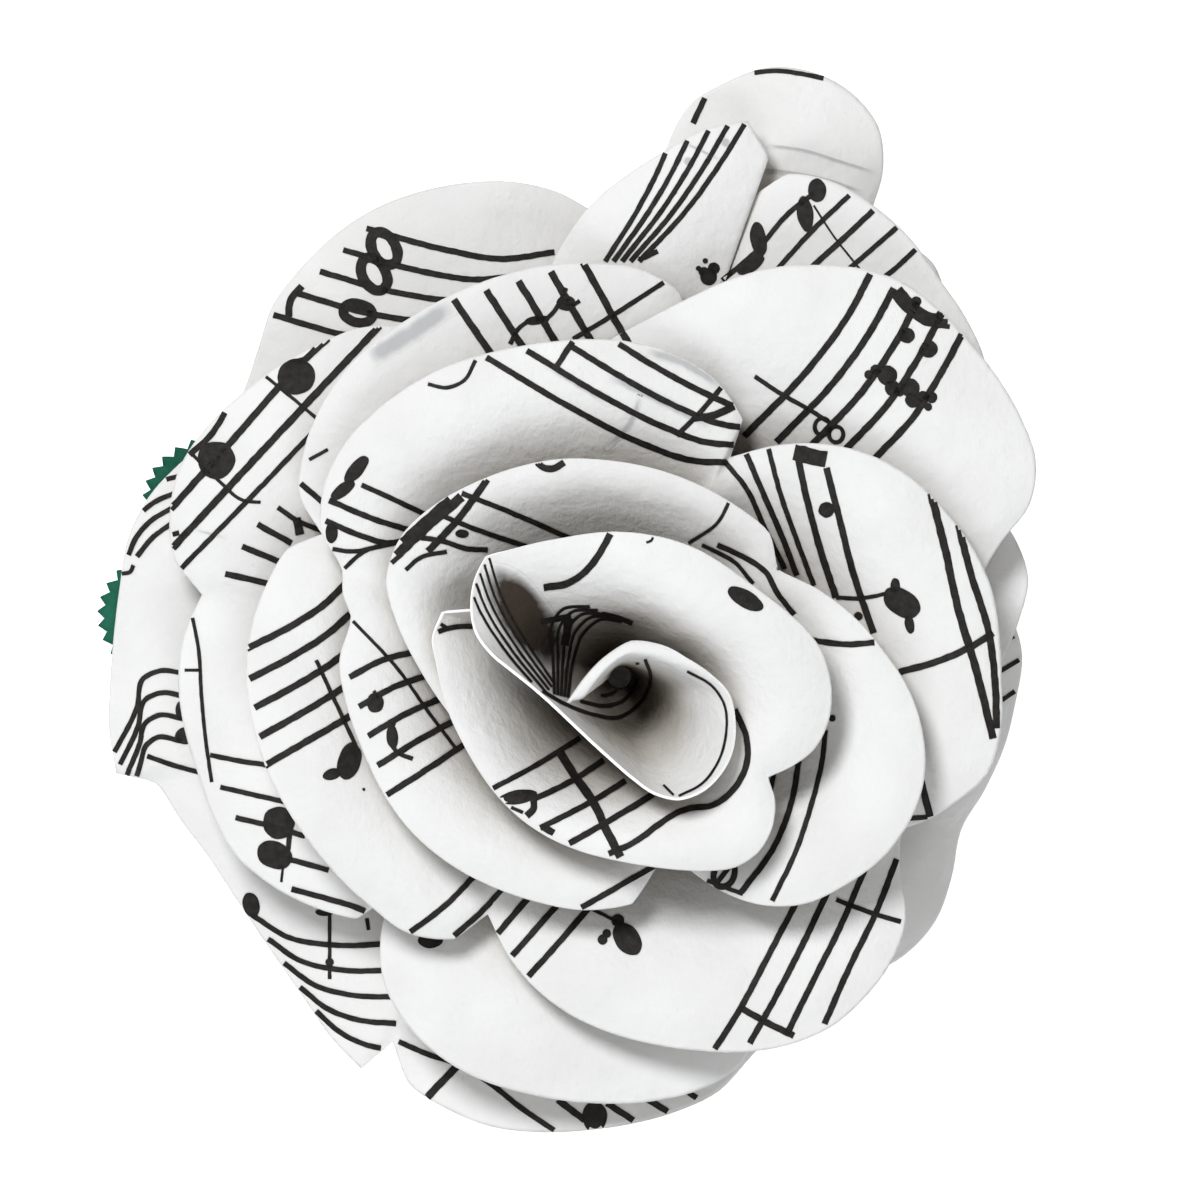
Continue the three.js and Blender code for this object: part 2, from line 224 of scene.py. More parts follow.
def grid_of(node):
    """(points, closed): points[row, column] in millimetres, rows from foot to rim, columns clockwise.
    A closed sheet or leaf starts from one point, its middle, and its last column meets its first."""
    bm = welded(node)
    faces = upper_side(bm)
    near = neighbours(faces)
    pole = max(near, key=lambda vertex: len(near[vertex]))
    closed = len(near[pole]) > MIDDLE_NEIGHBOURS
    rows = [[pole]] if closed else [foot_row(faces, near)]
    seen = set(rows[0])
    while len(seen) < len(near):
        layer = {vertex for inner in rows[-1] for vertex in near[inner]} - seen
        rows.append(next_row(rows[-1], layer, near, closed, pole.co))
        seen |= layer
    columns = len(rows[-1])
    points = [[vertex.co / MM for vertex in (row * columns if len(row) == 1 else row)] for row in rows]
    bm.free()
    return np.array(points, float), closed


# --- Smoothing ---
def spline(points, fine, closed=False, sharp=0.0):
    """A smooth curve through points[0], points[1], and so on, with fine steps between each two.
    It may turn a corner where sharp is 1. A closed one goes on from its last point to its first."""
    ahead = np.roll(points, -1, 0) - points
    if not closed:
        ahead[-1] = ahead[-2]
    span = np.maximum(np.linalg.norm(ahead, axis=-1).mean(1), 1e-6)[:, None, None]
    slope = ahead / span
    slope_before = np.roll(slope, 1, 0)
    span_before = np.roll(span, 1, 0)
    if not closed:
        slope_before[0] = slope[0]
        span_before[0] = span[0]
    middle = (slope * span_before + slope_before * span) / (span + span_before)
    leaving = (middle + (slope - middle) * sharp) * span
    arriving = np.roll(middle + (slope_before - middle) * sharp, -1, 0) * span
    following = np.roll(points, -1, 0)
    t = (np.arange(fine) / fine)[None, :, None, None]
    curve = (
        (1 + 2 * t) * (1 - t) ** 2 * points[:, None]
        + t * (1 - t) ** 2 * leaving[:, None]
        + t * t * (3 - 2 * t) * following[:, None]
        + t * t * (t - 1) * arriving[:, None]
    ).reshape(-1, *points.shape[1:])
    return curve if closed else curve[: (len(points) - 1) * fine + 1]


def notch_sharpness(points, closed):
    """How sharp a corner the sheet turns at each column and row: 1 at the rim's notches, 0 at its foot."""
    rim = points[-1]
    before = rim - np.roll(rim, 1, 0)
    after = np.roll(rim, -1, 0) - rim
    lengths = np.linalg.norm(before, axis=1) * np.linalg.norm(after, axis=1)
    turn = np.arccos(np.clip((before * after).sum(1) / np.maximum(lengths, 1e-9), -1, 1))
    least, most = NOTCH_TURN
    corner = np.clip((turn - least) / (most - least), 0, 1)
    if not closed:
        corner[[0, -1]] = 0
    share = np.linspace(0, 1, len(points)) ** 2
    return corner[:, None, None] * share[None, :, None]


def smoothed(points, closed):
    """The grid with finer columns and rows."""
    columns_first = points.transpose(1, 0, 2)
    finer = spline(columns_first, FINE_COLUMNS, closed, notch_sharpness(points, closed))
    return spline(finer.transpose(1, 0, 2), FINE_ROWS)


def step_along(points, axis, closed):
    """How the points go on along an axis of the grid, taken across each point."""
    if closed:
        return np.roll(points, -1, axis) - np.roll(points, 1, axis)
    return np.gradient(points, axis=axis)


def normals_of(points, closed):
    """The direction off the upper side of the paper at each point of a grid."""
    off = np.cross(step_along(points, 1, closed), step_along(points, 0, False))
    length = np.linalg.norm(off, axis=2, keepdims=True)
    return np.where(length > 1e-9, off / np.maximum(length, 1e-9), (0, 0, 1))


def rippled(points, normals):
    """The grid with the small unevenness of real paper, which is greatest at the free rim."""
    out = points.copy()
    share = np.linspace(0, 1, len(points))
    for row, column in np.ndindex(points.shape[:2]):
        place = Vector(points[row, column])
        broad = noise.noise(place / RIPPLE_LENGTH) * RIPPLE * share[row]
        small = noise.noise(place / COCKLE_LENGTH) * COCKLE
        out[row, column] += normals[row, column] * (broad + small)
    return out


# --- Meshes ---
def quads(upper, lower, rows, columns, closed):
    """(faces of the two sides, faces of the cut edge) of a body whose grids hold these vertex numbers."""
    sides = []
    edge = []
    spans = columns if closed else columns - 1
    for i in range(spans):
        k = (i + 1) % columns
        for j in range(rows - 1):
            sides.append((upper[j, i], upper[j, k], upper[j + 1, k], upper[j + 1, i]))
            sides.append((lower[j + 1, i], lower[j + 1, k], lower[j, k], lower[j, i]))
        edge.append((upper[-1, i], upper[-1, k], lower[-1, k], lower[-1, i]))
        if not closed:
            edge.append((lower[0, i], lower[0, k], upper[0, k], upper[0, i]))
    if not closed:
        for j in range(rows - 1):
            edge.append((lower[j, 0], upper[j, 0], upper[j + 1, 0], lower[j + 1, 0]))
            edge.append((upper[j, -1], lower[j, -1], lower[j + 1, -1], upper[j + 1, -1]))
    return sides, edge


def new_object(name, points, faces, materials, indices, smooth):
    """A mesh object of these points in millimetres, with a material and a smoothness for each face."""
    mesh = bpy.data.meshes.new(name)
    mesh.from_pydata([Vector(point) * MM for point in points], [], faces)
    for material in materials:
        mesh.materials.append(material)
    mesh.polygons.foreach_set("material_index", indices)
    mesh.polygons.foreach_set("use_smooth", smooth)
    mesh.update()
    piece = bpy.data.objects.new(name, mesh)
    bpy.context.scene.collection.objects.link(piece)
    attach(piece, BODY)
    return piece


def paper_piece(name, grid, normals, closed, materials):
    """A sheet of paper: its upper side is the grid, and its lower side lies one thickness below."""
    rows, columns = grid.shape[:2]
    upper = np.arange(rows * columns).reshape(rows, columns)
    lower = upper + rows * columns
    points = np.concatenate([grid.reshape(-1, 3), (grid - normals * VISIBLE_PAPER).reshape(-1, 3)])
    if closed:
        # The first row of a closed grid is one point.
        upper[0, :] = upper[0, 0]
        lower[0, :] = lower[0, 0]
    sides, edge = quads(upper, lower, rows, columns, closed)
    # A face whose corner is named twice is a triangle.
    faces = [list(dict.fromkeys(map(int, face))) for face in sides + edge]
    indices = [0] * len(sides) + [1] * len(edge)
    smooth = [True] * len(sides) + [False] * len(edge)
    return new_object(name, points, faces, materials, indices, smooth)


# --- Ink: strokes, dots and rings in a plane, each placed on the paper point by point ---
class Ink:
    """Thin flat marks on one sheet. They are drawn in a plane, and place(x, y, lift) gives the point that
    lies lift off the paper for a point of that plane, or None where there is no paper."""

    def __init__(self):
        self.points = []
        self.covers = []
        self.faces = []
        self.shades = []

    def fill(self, place, rows, shade, closed=False):
        """Faces between neighbouring rows of (x, y, cover), but for where the paper ends or drops away.
        cover says how strong the mark is at that point."""
        lift = INK_LIFT if shade == INK else PATCH_LIFT
        numbers = []
        for row in rows:
            marks = []
            for x, y, cover in row:
                point = place(x, y, lift)
                marks.append(None if point is None else len(self.points))
                if point is not None:
                    self.points.append(point)
                    self.covers.append(cover)
            numbers.append(marks)
        if closed:
            numbers.append(numbers[0])
        for here, there in zip(numbers, numbers[1:]):
            for k in range(len(here) - 1):
                self.face((here[k], here[k + 1], there[k + 1], there[k]), shade)

    def face(self, corners, shade):
        """One face, if all its corners lie on paper and close together."""
        if None in corners:
            return
        a, b, c, d = (self.points[corner] for corner in corners)
        if max(math.dist(a, b), math.dist(b, c), math.dist(c, d), math.dist(d, a)) > INK_BREAK:
            return
        self.faces.append(corners)
        self.shades.append(shade)

    def stroke(self, place, path, width, shade=INK, closed=False):
        """A line of ink along a smooth curve through the points of path."""
        corners = np.array(path, float)[:, None, :]
        longest = max(math.dist(a, b) for a, b in zip(path, path[1:]))
        fine = max(2, math.ceil(longest / INK_STEP))
        curve = spline(corners, fine, closed)[:, 0]
        along = step_along(curve, 0, closed)
        along /= np.maximum(np.linalg.norm(along, axis=1, keepdims=True), 1e-9)
        across = 1 if width < WIDE_STROKE else WIDE_FACES
        if shade == SHOW_THROUGH:
            across = PATCH_FACES
        shares = [k / across for k in range(across + 1)]
        rows = []
        for step, ((x, y), (dx, dy)) in enumerate(zip(curve, along)):
            left, right = (
                0.5 * width * (1 + INK_ROUGH * noise.noise(Vector((x * EDGE_NOISE, y * EDGE_NOISE, side))))
                for side in (LEFT_EDGE, RIGHT_EDGE)
            )
            fade = min(1, step / PATCH_FADE, (len(curve) - 1 - step) / PATCH_FADE)
            row = []
            for share in shares:
                offset = -left + (left + right) * share
                cover = 1.0 if shade == INK else fade * math.sin(math.pi * share)
                row.append((x + dy * offset, y - dx * offset, cover))
            rows.append(row)
        self.fill(place, rows, shade, closed)

    def dot(self, place, middle, radii, turn=0, shade=INK):
        """A filled oval. turn is in degrees, from the x axis to its first radius."""
        around = max(DOT_SIDES, math.ceil(2 * math.pi * max(radii) / INK_STEP))
        rings = max(DOT_RINGS, math.ceil(max(radii) / DOT_RING))
        shares = [DOT_PINHOLE] + [(k + 1) / rings for k in range(rings)]
        spokes = []
        for step in range(around):
            angle = 2 * math.pi * step / around
            place_in_noise = oval_point(middle, (DOT_NOISE, DOT_NOISE), 0, angle, 1)
            rough = 1 + 0.5 * INK_ROUGH * noise.noise(Vector((*place_in_noise, 0)))
            spoke = []
            for share in shares:
                cover = 1.0 if shade == INK else 1 - share ** 3
                spoke.append((*oval_point(middle, radii, turn, angle, share * rough), cover))
            spokes.append(spoke)
        self.fill(place, spokes, shade, closed=True)

    def ring(self, place, middle, radii, turn, width, shade=INK):
        """An oval line."""
        angles = [2 * math.pi * k / RING_POINTS for k in range(RING_POINTS)]
        path = [oval_point(middle, radii, turn, angle, 1) for angle in angles]
        self.stroke(place, path, width, shade, closed=True)


def oval_point(middle, radii, turn, angle, share):
    """A point of an oval, or nearer its middle by share."""
    x = share * radii[0] * math.cos(angle)
    y = share * radii[1] * math.sin(angle)
    lean = math.radians(turn)
    return (
        middle[0] + x * math.cos(lean) - y * math.sin(lean),
        middle[1] + x * math.sin(lean) + y * math.cos(lean),
    )


def from_above(grid, normals, closed):
    """place() for print that is laid out as it shows from above: the first paper under that point."""
    rows, columns = grid.shape[:2]
    numbers = np.arange(rows * columns).reshape(rows, columns)
    spans = columns if closed else columns - 1
    faces = []
    for i in range(spans):
        k = (i + 1) % columns
        for j in range(rows - 1):
            face = (numbers[j, i], numbers[j, k], numbers[j + 1, k], numbers[j + 1, i])
            faces.append([int(number) for number in face])
    tree = BVHTree.FromPolygons(grid.reshape(-1, 3).tolist(), faces)
    above = grid[..., 2].max() + CLEARANCE

    def place(x, y, lift):
        hit, normal, _, _ = tree.ray_cast(Vector((x, y, above)), Vector((0, 0, -1)))
        if hit is None:
            return None
        return hit + (normal if normal.z > 0 else -normal) * lift

    return place


def on_underside(grid, normals):
    """place() for print on the underside, laid out on the sheet as it lies flat: a fan about one point."""
    lower = grid - normals * VISIBLE_PAPER
    rows, columns = lower.shape[:2]
    steps = np.linalg.norm(np.diff(lower, axis=0), axis=2)
    foot_radius = np.linalg.norm(lower[0, :, :2] - lower[0, :, :2].mean(0), axis=1).mean()
    radius = foot_radius + np.concatenate([np.zeros((1, columns)), np.cumsum(steps, 0)])
    middle_row = rows // 2
    turns = np.linalg.norm(np.diff(lower[middle_row], axis=0), axis=1) / radius[middle_row, 1:]
    bearing = np.concatenate([[0], np.cumsum(turns)])

    def place(x, y, lift):
        angle = math.atan2(y, x) % (2 * math.pi)
        if angle > bearing[-1]:
            return None
        column = np.interp(angle, bearing, np.arange(columns))
        i = min(int(column), columns - 2)
        part = column - i
        profile = radius[:, i] * (1 - part) + radius[:, i + 1] * part
        length = math.hypot(x, y)
        if not profile[0] < length < profile[-1]:
            return None
        row = np.interp(length, profile, np.arange(rows))
        j = min(int(row), rows - 2)
        rest = row - j
        near = lower[j, i] * (1 - part) + lower[j, i + 1] * part
        far = lower[j + 1, i] * (1 - part) + lower[j + 1, i + 1] * part
        return Vector(near * (1 - rest) + far * rest - normals[j, i] * lift)

    return place


# --- The print: staves and notes of no particular music, laid out as they show from above ---
def line(*path, width=0.3, shade=INK):
    return [lambda ink, place: ink.stroke(place, path, width, shade)]


def staff(first, last, count=5, width=STAFF_WIDTH):
    """Staff lines from the first to the last, with the others spread evenly between them."""
    marks = []
    for k in range(count):
        share = k / (count - 1)
        path = [tuple(a + (b - a) * share for a, b in zip(p, q)) for p, q in zip(first, last)]
        marks += line(*path, width=width)
    return marks


def dot(x, y, a, b=None, turn=0, shade=INK):
    return [lambda ink, place: ink.dot(place, (x, y), (a, b or a), turn, shade)]


def ring(x, y, a, b, turn=0, width=0.3):
    return [lambda ink, place: ink.ring(place, (x, y), (a, b), turn, width)]


def dots(*places):
    """Filled circles, each (x, y, radius)."""
    return [mark for x, y, radius in places for mark in dot(x, y, radius)]


def bud_print():
    return (
        # The roll's outer lobe: a staff across it, its bar line and a note.
        line((-6.5, -8.4), (-4, -7.1), (-1.2, -5.4))
        + line((-4, -9), (-1.5, -7.8), (0.2, -6.7), width=0.34)
        + line((-3.5, -10.6), (-0.5, -9.1), (1.5, -7.9), width=0.34)
        + line((-1.8, -11.5), (0.2, -10.4), (3.1, -8.7), width=0.36)
        + line((0.5, -12.1), (1.5, -11.7), (5.2, -9.5), (6.6, -9.3), (7.8, -8.4), (8.6, -6.8), (8.6, -5.4),
               (7.9, -3.6), width=0.36)
        + line((-2.4, -6.2), (-1.5, -7.6), (-0.3, -9.3), (0.3, -10.6), (1.2, -12.3), width=0.5)
        + dot(-4.8, -8.8, 1.1, 0.42, turn=8)
        + line((-3.9, -9), (-3.9, -9.5), (-4.3, -9.9), width=0.4)
        + line((-5.2, -9.4), (-4.5, -9.7), width=0.2)
        + line((-3.4, -10.5), (-2.7, -10.9), width=0.4)
        + line((-9.9, 0.7), (-8.8, 1.1), (-7.2, 1.2))
        + line((-9.6, 1.5), (-9, 1.1), width=0.22)
        # The lobe behind the hollow: a slur, a note and a small stroke.
        + line((0.6, 6.6), (0, 5.5), (-1, 4.3), (-2, 3.7), (-3.3, 3.5), width=0.4)
        + line((0.1, 1.95), (1, 1.75), (1.9, 1.4), width=0.28)
        + line((3.1, 6.4), (3, 6.2), (2.7, 6.1), width=0.14)
        + dot(8.5, 2.8, 1.15, 0.5, turn=-30)
        # Inside the roll: a soft dark patch of painted shade for the deep hollow, and lines that run down
        # round it.
        + dot(-4.4, 1.7, 3.9, 1.7, turn=-54, shade=PAINTED_SHADE)
        + line((2.65, -0.7), (3, -1.8), (2.5, -3.2), (1, -4.2), (-0.4, -4), (-2, -3.4), (-3.4, -2.6),
               width=0.2)
        + line((2.2, -0.9), (2.2, -2), (1.4, -3.2), (0.3, -3.5), (-1.2, -3.2), width=0.2)
        + line((1.2, -2.4), (0.6, -2.8), (0, -2.9), width=0.16)
        + dot(1.25, -1.8, 0.7, 0.5, turn=30)
        + line((5.1, -1.4), (6.6, -2.3), (7.3, -3.4), (7.4, -5), (6.9, -6.8), (6, -8), (4.6, -8.75),
               width=0.14)
        + line((3.7, -8.1), (4.4, -8.8), width=0.14)
        + staff([(1.3, 1.5), (0, 1.6), (-0.9, 0.9), (-1.6, -0.8), (-1.9, -3)],
                [(-0.6, 2.4), (-2.2, 2.2), (-2.9, 1.2), (-2.8, -0.6), (-2.7, -2.8)], width=0.17)
        + staff([(-7.6, 3.4), (-7, 2), (-5.6, -0.2), (-3.3, -2.9)],
                [(-6.6, 5.6), (-5.8, 3), (-4.3, 0.2), (-2.7, -2.2)], width=0.15)
        + line((-3.5, 1.5), (-1.7, 1.8), width=0.34)
        + line((-1.8, 1.7), (-2.1, 0.1), width=0.5)
    )


def sheet_2_print():
    return (
        # Upper lobe: a beam with its stems, staff lines and a dot.
        line((-12.4, 5.1), (-10.5, 6.9), (-8.2, 8.9), width=0.85)
        + line((-10.1, 5.6), (-8.4, 7.4), (-6.6, 9.8), width=0.4)
        + line((-8.1, 9), (-5, 7.8), (-1.8, 6.4))
        + line((-9.3, 7.7), (-7, 6.8), (-4, 5.8))
        + line((-10.5, 6.4), (-9.2, 6.2), (-8, 5.8), (-6.6, 5.7))
        + line((-11.4, 4.5), (-10.6, 5.2), (-9, 5.6), width=0.25)
        + dot(-8.1, 6.65, 0.4, 0.25)
        + line((-3.7, 10.8), (-3.3, 10.5), (-2.7, 10.45), (-2.1, 10.8), width=0.4)
        + line((7.75, 8.9), (6.9, 7.3), (5.2, 6.1), width=0.2)
        + line((6.9, 6), (8.4, 5.3), (9.7, 4.4), (10.4, 3.2), (11.4, 1.9), width=0.32)
        + line((6, 6), (8, 4.9), (9, 3.7), width=0.24)
        # Lower lobe: a bar line, two staff lines and an open note.
        + line((12.4, 0.4), (14.4, 0.15), (16.7, 0.3), width=0.34)
        + dots((13.65, -4.2, 0.2), (10.5, 4.6, 0.16))
        + line((13.25, -4.9), (13.1, -6.5), (12.5, -9), (11.5, -12), (10.1, -14.9))
        + line((11.7, -6.7), (11.3, -9), (10.2, -11.8), (8.3, -14.4), width=0.34)
        + line((10.3, -7.2), (10, -8.6))
        + ring(7.3, -13.3, 0.82, 0.6, turn=70, width=0.36)
        + line((8.2, -12.1), (7.3, -13.3), (6.5, -14.3))
        + line((4.9, -13), (6.3, -13.7), (8.4, -14.5), width=0.24)
        + line((5, -13), (6, -12.6), width=0.3)
    )


def sheet_3_print():
    return (
        # Left lobe: a staff with a stem, a note and a rest.
        staff([(-14.7, -1.8), (-12.8, -0.8), (-10.4, -0.2)], [(-12.5, -8.7), (-10, -7.1), (-7.9, -5.7)])
        + line((-14.5, 1.5), (-12, -1.2), (-10, -4), (-8.5, -6), width=0.2)
        + dot(-13.2, -3.3, 0.5, 0.58)
        + line((-13.3, -2.6), (-13, -3), width=0.2)
        + line((-12.1, -4.4), (-12.35, -5.4), (-11.9, -6.2), (-11, -6.6), width=0.26)
        + dot(-12.2, -5.3, 0.34, 0.72, turn=5)
        + line((-1.1, -15.3), (1.4, -13.9), (3.3, -12.8), width=0.34)
        # Upper lobe: a staff, its stems, and the other side's print showing through.
        + staff([(-6.8, 17.05), (-1.8, 14.1), (2.5, 11.95), (5.8, 10.9), (7.4, 10.85)],
                [(0.7, 18), (3.3, 16.4), (5.9, 15), (8, 14.1), (8.8, 13.9)], count=4)
        + line((-1.6, 17.9), (-2.7, 16.2), width=0.34)
        + line((4.5, 12.4), (5.9, 13.8), (7.1, 15.2), width=0.3)
        + line((5.4, 13.4), (6.7, 13.6), (8, 14.2), width=0.44)
        + line((-10.1, 15.4), (-9, 15.2), (-8, 15.6), (-7.3, 16.8), width=0.22)
        + line((-3.4, 16.7), (0.6, 14.3), width=0.5, shade=SHOW_THROUGH)
        + line((0.4, 16), (3.4, 14.6), (6.6, 12.9), width=0.7, shade=SHOW_THROUGH)
        + line((2.6, 17.4), (5, 16.6), (7.4, 15.1), width=0.6, shade=SHOW_THROUGH)
        + line((0.3, 11.6), (1.8, 13.2), (2.4, 14.8), width=0.4, shade=SHOW_THROUGH)
        + dot(-14.3, 10.4, 1, 0.42, turn=50)
        + dot(-15.1, 9.2, 0.85, 0.36, turn=38)
        + line((-14, 9.5), (-12, 8.6), (-9.9, 7.6))
        + line((-15.9, 8.6), (-13, 7.4), (-10.6, 6.7), width=0.34)
        + line((-16.1, 7.4), (-14, 6.5), (-12.6, 6.1), (-11.2, 6.3), width=0.34)
        + line((-16, 5.8), (-14.5, 5.6), (-13, 5.9), (-11.5, 6.3), width=0.26)
        + dot(-15.75, 6.7, 0.36, 0.62)
        + line((-15, 4.6), (-14, 5.5), (-12, 6.1), (-10.5, 6.6), width=0.24)
        # Right lobe: staff lines that fan out, a beam, a note and a double bar line.
        + line((7.3, 10.9), (8.6, 9.3), (9.7, 7), (10.9, 4.6))
        + line((8.6, 11.3), (9.6, 9), (10.8, 6.3), (11.6, 4.2), width=0.34)
        + line((9.9, 11.6), (10.6, 9), (11.5, 6.5), (12.6, 3.6))
        + line((11.6, 11.2), (12.2, 8.5), (13, 5.6), (13.9, 2.9), width=0.4)
        + line((13.3, 10.5), (14, 7.8), (15, 4), (16.1, 0.8), width=0.4)
        + line((11.4, 11.4), (12.3, 11.2), (13.3, 11), width=0.95)
        + dots((13.3, 8.05, 0.46), (15.2, 1.8, 0.26))
        + dot(17.75, 2.6, 1.2, 0.78, turn=-35)
        + dot(17.35, 3.55, 0.28, 0.5)
        + dot(18.2, 1.3, 0.28, 0.55, turn=10)
        + line((13.9, 2.9), (15.3, 2.85), (17, 3.15), width=0.24)
        + line((19.4, 9.1), (20.2, 6), (21.1, 2), (22, -1), (23.1, -5.4), width=0.46)
        + line((21, 7.3), (21.8, 4.2), (22.8, 1), (23.2, -2), (23.3, -4.8), width=0.42)
        + line((17.6, -1.5), (20, -0.8), (21.8, 0), (23.1, 0.8), width=0.4)
        + line((18.8, -7.6), (19.4, -10), width=0.42)
        + line((18.1, -10.1), (19.4, -10), width=0.28)
    )


def sheet_4_print():
    return (
        # Upper right lobe: a staff with clusters of notes and a beam.
        staff([(15.9, 21.9), (14.6, 19.5), (12.4, 16.5), (8.5, 12.4)],
              [(21.4, 18.6), (20, 16), (18.5, 13.6), (16.1, 11)],
              width=0.4)
        + line((17.4, 20.9), (18.3, 19.9), (19.2, 19.3), (20.6, 19.1), width=0.85)
        + dots((18.6, 20.3, 0.3), (20, 19.5, 0.26), (18.05, 18.3, 0.46), (19.35, 17.5, 0.52))
        + dots((15.8, 16, 0.27), (16.2, 16.3, 0.3), (16.9, 15.95, 0.58), (17.2, 15.2, 0.46),
               (17.6, 15, 0.3), (18.25, 15.2, 0.56), (18.4, 14.5, 0.46), (19, 14.7, 0.34),
               (19.5, 14.65, 0.34), (19.3, 14.1, 0.24))
        + ring(13.1, 12.95, 0.46, 0.5, width=0.24)
        + ring(13.9, 12.5, 0.42, 0.46, width=0.24)
        + line((9.1, 15.9), (10.8, 14.8), (12.4, 13.9), (13.5, 13.2), width=0.26)
        # Lower lobe: two staves, a note and bar lines.
        + staff([(-6.1, -17), (-4.3, -14.9), (-3, -13.6)],
                [(-4.2, -19.4), (-2.5, -17.5), (-0.4, -15.1)], count=3)
        + dot(1.6, -17.2, 1.08, 0.72, turn=-55)
        + dots((1.05, -16.15, 0.38), (0.15, -17.25, 0.3), (0.4, -16.9, 0.26))
        + line((-0.6, -15.4), (1, -16.2), width=0.2)
        + staff([(11.6, -15), (10, -18), (8.3, -21.2), (6.6, -23.9)],
                [(17.6, -12.1), (16.3, -15.5), (14.6, -19), (13.2, -22.2)],
                count=4)
        + line((13.9, -14.9), (14.9, -15.3), (16.2, -15.75), (17.7, -16.2), width=0.28)
        + line((8.2, -21.2), (9.8, -22.1), (11.4, -22.9), width=0.4)
        # Left lobe: a staff with a stemmed note, and two lines at its lower end.
        + staff([(-20.9, -0.2), (-18, 1.3), (-16.2, 2.5), (-14.9, 3.8)],
                [(-19.7, -7), (-17.3, -5.6), (-15.9, -4.8), (-14.2, -3.8)],
                width=0.4)
        + line((-16.7, -0.8), (-15.7, -3), (-14.4, -5.8), width=0.24)
        + dot(-14.75, -6.75, 0.68, 1.1, turn=-14)
        + dot(-15.75, -7.5, 0.56, 0.34, turn=18)
        + dots((-13.9, -8.4, 0.09))
        + line((-11.4, -16.95), (-9.2, -15.3), (-7.1, -13.2), width=0.34)
        + line((-8.6, -17), (-7, -15.6), (-5.6, -14.1), width=0.34)
        # Upper left lobe: staff lines from its rim inwards, notes and a stem.
        + staff([(-8.6, 20.4), (-6.4, 17.2), (-4.9, 15)], [(-1, 22.6), (1.4, 18.3), (3, 15.6)], width=0.42)
        + line((-5.3, 17.8), (-4.8, 18.7), (-4, 19.2), (-3.2, 19.3), (-2.4, 20.2), (-2, 21.1), width=0.26)
        + dot(-3.7, 19.2, 0.75, 0.26, turn=8)
        + dot(-2, 20.2, 0.58, 0.44)
        + line((-1.7, 20), (-1.2, 20.35), width=0.24)
        + line((-1.6, 18.1), (0.9, 19.6), (4, 21.6), width=0.28)
        + line((-17.6, 9.6), (-16.1, 8.3), width=0.34)
        + line((-17.1, 11), (-16, 11.6), width=0.2)
        + line((-13.6, 17), (-11.8, 18), (-8.6, 20.2), width=1.2, shade=SHOW_THROUGH)
    )


